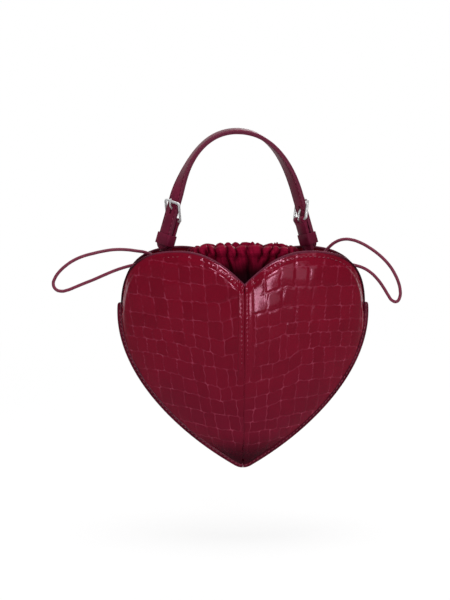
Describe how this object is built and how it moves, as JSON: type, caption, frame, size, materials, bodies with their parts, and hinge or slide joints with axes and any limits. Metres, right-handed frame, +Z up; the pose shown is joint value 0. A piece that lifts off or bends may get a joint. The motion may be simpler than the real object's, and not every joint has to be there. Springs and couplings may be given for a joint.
{
  "type": "heart-shaped drawstring handbag",
  "caption": "Heart-shaped leather handbag with a gathered drawstring collar and a top handle held by buckles.",
  "frame": {"origin": "underside of the handle's strap at its crown, where a hand or hook carries the bag", "axes": "+X across the bag to the right as seen from the front, +Y towards the back, +Z up"},
  "size_m": [0.3031, 0.077, 0.2971],
  "materials": {
    "embossed_leather": "deep red patent leather embossed with crocodile scales",
    "binding_leather": "glossy red leather with a stitch row",
    "strap_leather": "smooth semi-gloss wine leather with painted edges",
    "plain_leather": "smooth wine leather",
    "cord_leather": "matt round cord",
    "satin": "crimson satin",
    "stiffening_board": "pressed fibre board",
    "silver_metal": "polished silver plating"
  },
  "bodies": {
    "handle": {"handle_outer": "strap_leather", "handle_lining": "strap_leather", "left_tab": "strap_leather", "right_tab": "strap_leather"},
    "bag": {"front_left_panel": "embossed_leather", "front_right_panel": "embossed_leather", "back_left_panel": "embossed_leather", "back_right_panel": "embossed_leather", "front_seam_tape": "plain_leather", "back_seam_tape": "plain_leather", "front_board": "stiffening_board", "back_board": "stiffening_board", "front_lining": "satin", "back_lining": "satin", "left_edge_binding": "binding_leather", "right_edge_binding": "binding_leather", "left_side_gusset": "plain_leather", "right_side_gusset": "plain_leather", "left_tab_anchor": "plain_leather", "right_tab_anchor": "plain_leather", "satin_collar": "satin", "left_cord_run": "cord_leather", "right_cord_run": "cord_leather"},
    "left_frame": {"left_buckle_frame": "silver_metal"},
    "right_frame": {"right_buckle_frame": "silver_metal"},
    "left_prong": {"left_buckle_prong": "silver_metal"},
    "right_prong": {"right_buckle_prong": "silver_metal"},
    "left_loop": {"left_keeper": "strap_leather"},
    "right_loop": {"right_keeper": "strap_leather"},
    "left_pull": {"left_drawcord": "cord_leather"},
    "right_pull": {"right_drawcord": "cord_leather"}
  },
  "joints": [
    {"name": "handle_fold", "type": "hinge", "parent": "handle", "child": "bag", "pos_m": [0, 0, -0.104], "axis": [1, 0, 0], "range_deg": [-50, 50]},
    {"name": "left_buckle_tip", "type": "hinge", "parent": "handle", "child": "left_frame", "pos_m": [-0.0544, 0, -0.07401], "axis": [0.6797, -0.7071, -0.1949], "range_deg": [0, 4]},
    {"name": "left_prong_lift", "type": "hinge", "parent": "left_frame", "child": "left_prong", "pos_m": [-0.0544, 0, -0.07401], "axis": [0.6797, -0.7071, -0.1949], "range_deg": [0, 5]},
    {"name": "left_keeper_slide", "type": "slide", "parent": "handle", "child": "left_loop", "axis": [0.2756, 0, 0.9613], "range_m": [0, 0.008]},
    {"name": "right_buckle_tip", "type": "hinge", "parent": "handle", "child": "right_frame", "pos_m": [0.0544, 0, -0.07401], "axis": [-0.5235, 0.8387, -0.1501], "range_deg": [0, 4]},
    {"name": "right_prong_lift", "type": "hinge", "parent": "right_frame", "child": "right_prong", "pos_m": [0.0544, 0, -0.07401], "axis": [-0.5235, 0.8387, -0.1501], "range_deg": [0, 5]},
    {"name": "right_keeper_slide", "type": "slide", "parent": "handle", "child": "right_loop", "axis": [-0.2756, 0, 0.9613], "range_m": [0, 0.008]},
    {"name": "left_drawcord_pull", "type": "slide", "parent": "bag", "child": "left_pull", "axis": [-1, 0, 0], "range_m": [0, 0.008]},
    {"name": "right_drawcord_pull", "type": "slide", "parent": "bag", "child": "right_pull", "axis": [1, 0, 0], "range_m": [0, 0.008]}
  ]
}
